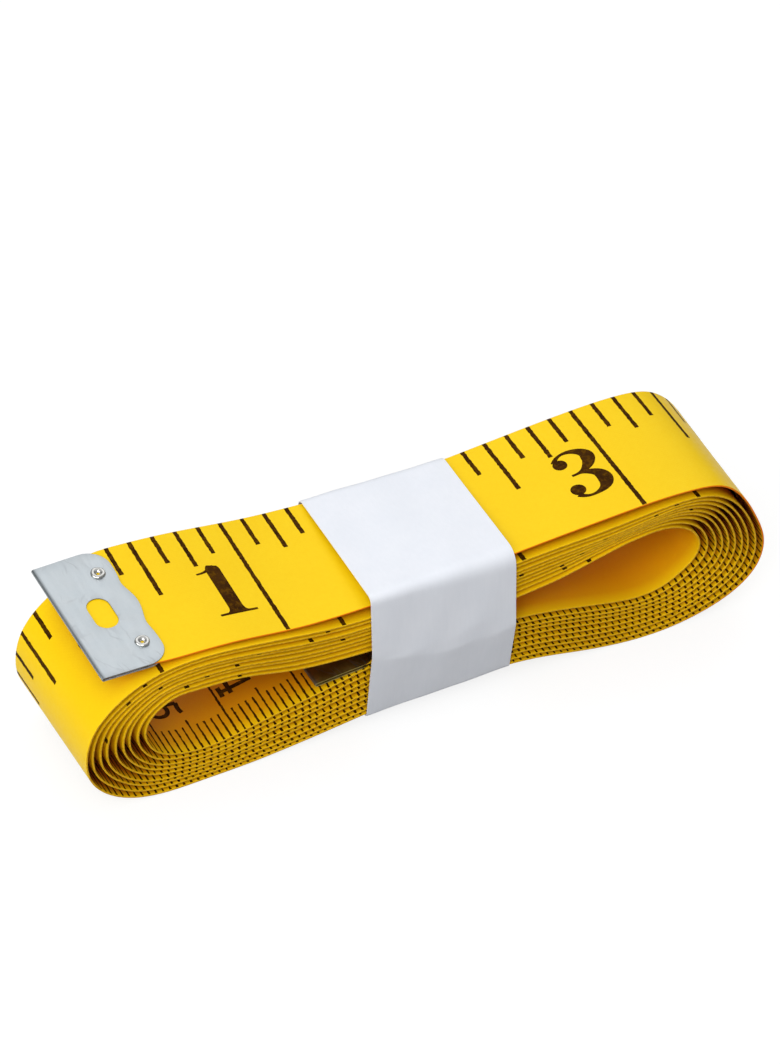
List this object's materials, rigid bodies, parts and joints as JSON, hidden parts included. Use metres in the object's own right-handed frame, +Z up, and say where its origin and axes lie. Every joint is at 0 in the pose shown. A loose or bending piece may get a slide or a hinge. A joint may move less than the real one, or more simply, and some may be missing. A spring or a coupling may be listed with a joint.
{
  "type": "cloth tape measure",
  "caption": "Yellow cloth tape measure wound flat into a waisted hank, with metal end tips and a white paper band.",
  "frame": {"origin": "on the surface that the hank rests on, below the middle of its bounding box", "axes": "+X along the hank to its plain right end, +Y across the tape's width away from the viewer, +Z up"},
  "size_m": [0.0968, 0.023, 0.024],
  "materials": {
    "yellow_vinyl": "semi-gloss PVC coating over fibreglass cloth, printed in dark brown",
    "tip_steel": "pale, slightly blotched plated sheet",
    "eyelet_steel": "bright plated",
    "white_paper": "matte white paper, lightly creased"
  },
  "bodies": {
    "hank": {"tape_ribbon": "yellow_vinyl", "outer_end_tip": "tip_steel", "inner_end_tip": "tip_steel", "outer_eyelet_near": "eyelet_steel", "outer_eyelet_far": "eyelet_steel", "inner_eyelet_near": "eyelet_steel", "inner_eyelet_far": "eyelet_steel"},
    "band": {"paper_band": "white_paper"}
  },
  "joints": [
    {"name": "band_slide", "type": "slide", "parent": "hank", "child": "band", "axis": [1, 0, 0], "range_m": [0, 0.06], "deforming": ["tape_ribbon"]}
  ]
}
